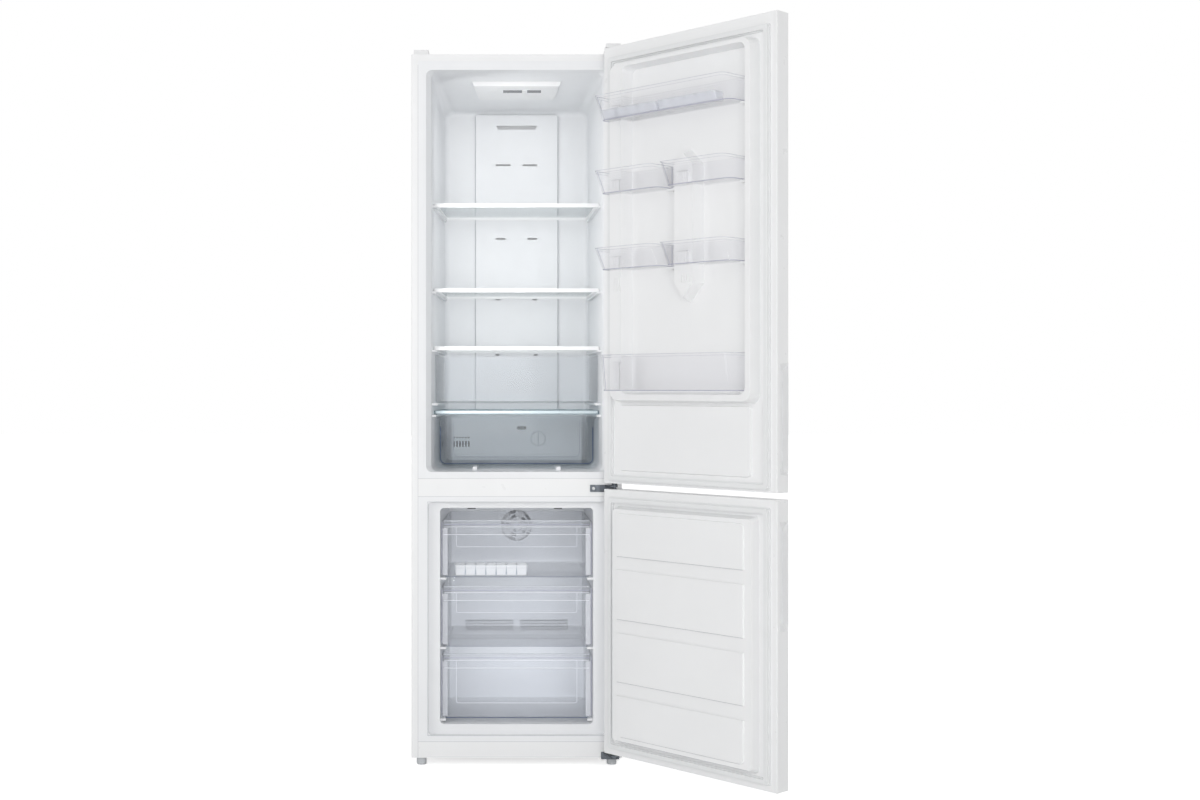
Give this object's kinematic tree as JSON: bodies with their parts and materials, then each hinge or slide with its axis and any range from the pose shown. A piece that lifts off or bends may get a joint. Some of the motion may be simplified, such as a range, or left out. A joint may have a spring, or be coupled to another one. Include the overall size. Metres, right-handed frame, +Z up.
{
  "type": "bottom freezer refrigerator",
  "caption": "White two-door combination refrigerator with the fridge above the freezer, both doors standing open, glass shelves, clear drawers and door bins.",
  "frame": {"origin": "on the floor, midway between the cabinet's sides, in the plane of the cabinet's front flange", "axes": "+X to the right as seen from the front, +Y towards the back of the cabinet, +Z up; the doors are hinged at the right and stand open towards -Y at rest"},
  "size_m": [0.986, 1.0389, 2.031],
  "materials": {
    "white_paint": "gloss",
    "white_liner": "satin",
    "white_plastic": "satin",
    "grey_plastic": "satin",
    "clear_plastic": "gloss",
    "shelf_glass": "gloss",
    "smoked_window": "gloss",
    "gasket_rubber": "matte",
    "black_rubber": "matte",
    "insulation_foam": "matte",
    "zinc_steel": "satin",
    "evaporator_aluminium": "satin",
    "black_steel": "satin"
  },
  "bodies": {
    "cabinet": {"side_panel_left": "white_paint", "side_panel_right": "white_paint", "top_panel": "white_paint", "back_panel": "white_paint", "base_frame": "white_paint", "cabinet_foam": "insulation_foam", "fridge_liner": "white_liner", "freezer_liner": "white_liner", "mullion_cover": "white_paint", "duct_cover": "white_liner", "evaporator_cover": "white_liner", "evaporator": "evaporator_aluminium", "fan_motor": "black_steel", "control_panel": "white_plastic", "display_window": "smoked_window", "top_hinge": "zinc_steel", "top_hinge_cover": "white_plastic", "middle_hinge": "zinc_steel", "bottom_hinge": "zinc_steel", "blank_caps": "white_plastic", "compressor": "black_steel", "compressor_cover": "zinc_steel"},
    "upper_door": {"upper_door_skin": "white_paint", "upper_door_caps": "white_plastic", "upper_door_foam": "insulation_foam", "upper_door_liner": "white_liner", "upper_door_gasket": "gasket_rubber"},
    "lower_door": {"lower_door_skin": "white_paint", "lower_door_caps": "white_plastic", "lower_door_foam": "insulation_foam", "lower_door_liner": "white_liner", "lower_door_gasket": "gasket_rubber"},
    "shelf_top": {"shelf_top_trim": "white_plastic", "shelf_top_glass": "shelf_glass"},
    "shelf_middle": {"shelf_middle_trim": "white_plastic", "shelf_middle_glass": "shelf_glass"},
    "shelf_bottom": {"shelf_bottom_trim": "white_plastic", "shelf_bottom_glass": "shelf_glass"},
    "crisper_cover": {"crisper_cover": "clear_plastic"},
    "chiller_tray": {"chiller_tray": "clear_plastic"},
    "crisper_drawer": {"crisper_drawer": "clear_plastic"},
    "freezer_drawer_top": {"freezer_drawer_top": "clear_plastic"},
    "freezer_drawer_middle": {"freezer_drawer_middle": "clear_plastic"},
    "freezer_drawer_bottom": {"freezer_drawer_bottom": "clear_plastic"},
    "ice_tray": {"ice_tray": "white_plastic"},
    "door_bin_top": {"door_bin_top": "clear_plastic"},
    "door_bin_upper_left": {"door_bin_upper_left": "clear_plastic"},
    "door_bin_upper_right": {"door_bin_upper_right": "clear_plastic"},
    "door_bin_lower_left": {"door_bin_lower_left": "clear_plastic"},
    "door_bin_lower_right": {"door_bin_lower_right": "clear_plastic"},
    "door_bin_bottom": {"door_bin_bottom": "clear_plastic"},
    "egg_tray_left": {"egg_tray_left": "clear_plastic"},
    "egg_tray_right": {"egg_tray_right": "clear_plastic"},
    "airflow_knob": {"airflow_knob": "grey_plastic"},
    "panel_button": {"panel_button": "white_plastic"},
    "evaporator_fan": {"evaporator_fan": "white_plastic"},
    "front_foot_left": {"front_foot_left": "grey_plastic"},
    "front_foot_right": {"front_foot_right": "grey_plastic"},
    "rear_roller_left": {"rear_roller_left": "black_rubber"},
    "rear_roller_right": {"rear_roller_right": "black_rubber"}
  },
  "joints": [
    {"name": "upper_door_hinge", "type": "hinge", "parent": "cabinet", "child": "upper_door", "pos_m": [0.2743, -0.036, 0.802], "axis": [0, 0, 1], "range_deg": [-133.7, 0]},
    {"name": "lower_door_hinge", "type": "hinge", "parent": "cabinet", "child": "lower_door", "pos_m": [0.2743, -0.036, 0.048], "axis": [0, 0, 1], "range_deg": [-133.7, 0]},
    {"name": "shelf_top_slide", "type": "slide", "parent": "cabinet", "child": "shelf_top", "axis": [0, -1, 0], "range_m": [0, 0.15]},
    {"name": "shelf_middle_slide", "type": "slide", "parent": "cabinet", "child": "shelf_middle", "axis": [0, -1, 0], "range_m": [0, 0.15]},
    {"name": "shelf_bottom_slide", "type": "slide", "parent": "cabinet", "child": "shelf_bottom", "axis": [0, -1, 0], "range_m": [0, 0.15]},
    {"name": "crisper_cover_slide", "type": "slide", "parent": "cabinet", "child": "crisper_cover", "axis": [0, -1, 0], "range_m": [0, 0.15]},
    {"name": "chiller_tray_slide", "type": "slide", "parent": "cabinet", "child": "chiller_tray", "axis": [0, -1, 0], "range_m": [0, 0.2]},
    {"name": "crisper_drawer_slide", "type": "slide", "parent": "cabinet", "child": "crisper_drawer", "axis": [0, -1, 0], "range_m": [0, 0.28]},
    {"name": "freezer_drawer_top_slide", "type": "slide", "parent": "cabinet", "child": "freezer_drawer_top", "axis": [0, -1, 0], "range_m": [0, 0.3]},
    {"name": "freezer_drawer_middle_slide", "type": "slide", "parent": "cabinet", "child": "freezer_drawer_middle", "axis": [0, -1, 0], "range_m": [0, 0.3]},
    {"name": "freezer_drawer_bottom_slide", "type": "slide", "parent": "cabinet", "child": "freezer_drawer_bottom", "axis": [0, -1, 0], "range_m": [0, 0.22]},
    {"name": "ice_tray_lift", "type": "slide", "parent": "freezer_drawer_top", "child": "ice_tray", "axis": [0, 0, 1], "range_m": [0, 0.06]},
    {"name": "door_bin_top_lift", "type": "slide", "parent": "upper_door", "child": "door_bin_top", "axis": [0, 0, 1], "range_m": [0, 0.03]},
    {"name": "door_bin_upper_left_lift", "type": "slide", "parent": "upper_door", "child": "door_bin_upper_left", "axis": [0, 0, 1], "range_m": [0, 0.03]},
    {"name": "door_bin_upper_right_lift", "type": "slide", "parent": "upper_door", "child": "door_bin_upper_right", "axis": [0, 0, 1], "range_m": [0, 0.03]},
    {"name": "door_bin_lower_left_lift", "type": "slide", "parent": "upper_door", "child": "door_bin_lower_left", "axis": [0, 0, 1], "range_m": [0, 0.03]},
    {"name": "door_bin_lower_right_lift", "type": "slide", "parent": "upper_door", "child": "door_bin_lower_right", "axis": [0, 0, 1], "range_m": [0, 0.03]},
    {"name": "door_bin_bottom_lift", "type": "slide", "parent": "upper_door", "child": "door_bin_bottom", "axis": [0, 0, 1], "range_m": [0, 0.03]},
    {"name": "egg_tray_left_lift", "type": "slide", "parent": "door_bin_top", "child": "egg_tray_left", "axis": [0, 0, 1], "range_m": [0, 0.04]},
    {"name": "egg_tray_right_lift", "type": "slide", "parent": "door_bin_top", "child": "egg_tray_right", "axis": [0, 0, 1], "range_m": [0, 0.04]},
    {"name": "airflow_knob_turn", "type": "hinge", "parent": "cabinet", "child": "airflow_knob", "pos_m": [0.0674, 0.44, 0.91], "axis": [0, 1, 0], "range_deg": [-60, 60]},
    {"name": "panel_button_press", "type": "slide", "parent": "cabinet", "child": "panel_button", "axis": [0, 0.047, 0.9989], "range_m": [0, 0.001], "stiffness_N_per_m": 300},
    {"name": "evaporator_fan_spin", "type": "hinge", "parent": "cabinet", "child": "evaporator_fan", "pos_m": [0, 0.448, 0.64], "axis": [0, 1, 0], "continuous": true},
    {"name": "rear_roller_left_spin", "type": "hinge", "parent": "cabinet", "child": "rear_roller_left", "pos_m": [-0.235, 0.53, 0.015], "axis": [1, 0, 0], "continuous": true},
    {"name": "rear_roller_right_spin", "type": "hinge", "parent": "cabinet", "child": "rear_roller_right", "pos_m": [0.235, 0.53, 0.015], "axis": [1, 0, 0], "continuous": true},
    {"name": "front_foot_left_turn", "type": "hinge", "parent": "cabinet", "child": "front_foot_left", "pos_m": [-0.2698, 0.026, 0.01], "axis": [0, 0, 1], "continuous": true},
    {"name": "front_foot_right_turn", "type": "hinge", "parent": "cabinet", "child": "front_foot_right", "pos_m": [0.2698, 0.026, 0.01], "axis": [0, 0, 1], "continuous": true}
  ]
}
